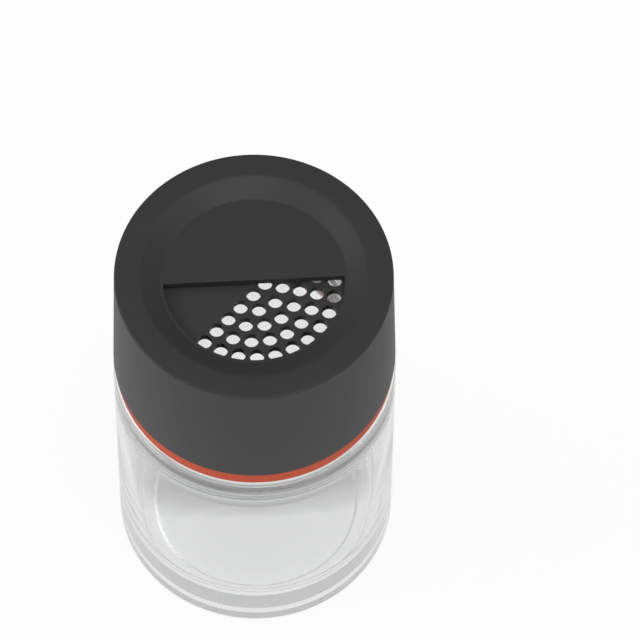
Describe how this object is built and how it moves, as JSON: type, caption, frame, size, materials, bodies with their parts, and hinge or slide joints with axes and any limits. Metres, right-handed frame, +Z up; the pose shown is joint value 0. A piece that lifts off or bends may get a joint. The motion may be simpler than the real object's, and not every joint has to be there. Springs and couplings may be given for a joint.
{
  "type": "spice shaker",
  "caption": "Glass spice shaker with a screw-on twist top: a dished cap with a half-moon window turns over a sieve to open or shut it.",
  "frame": {"origin": "centre of the jar's base, on the surface it stands on", "axes": "+Z up along the jar's axis, the cap's half-moon window looks towards -Y"},
  "size_m": [0.0538, 0.0538, 0.0916],
  "materials": {
    "clear_glass": "polished clear",
    "orange_silicone": "satin",
    "pale_silicone": "satin",
    "black_plastic": "fine matte",
    "dark_rubber": "satin",
    "grey_silicone": "satin"
  },
  "bodies": {
    "jar": {"glass_jar": "clear_glass"},
    "shoulder_ring": {"seal_ring": "orange_silicone"},
    "gasket": {"mouth_gasket": "pale_silicone"},
    "collar": {"screw_collar": "black_plastic", "sieve_disc": "black_plastic", "friction_ring": "dark_rubber"},
    "cap": {"turning_cap": "black_plastic", "sealing_pad": "grey_silicone"}
  },
  "joints": [
    {"name": "lid_unscrew", "type": "hinge", "parent": "jar", "child": "shoulder_ring", "pos_m": [0, 0, 0.0602], "axis": [0, 0, 1], "range_deg": [0, 450]},
    {"name": "lid_lift_off", "type": "slide", "parent": "shoulder_ring", "child": "gasket", "axis": [0, 0, 1], "range_m": [0, 0.12]},
    {"name": "lid_rise", "type": "slide", "parent": "gasket", "child": "collar", "axis": [0, 0, 1], "range_m": [0, 0.005]},
    {"name": "cap_turn", "type": "hinge", "parent": "collar", "child": "cap", "pos_m": [0, 0, 0.0784], "axis": [0, 0, 1], "range_deg": [-135, 45]}
  ],
  "couplings": [
    {"joint": "lid_rise", "follows": "lid_unscrew", "m_per_rad": 0.00063662}
  ]
}
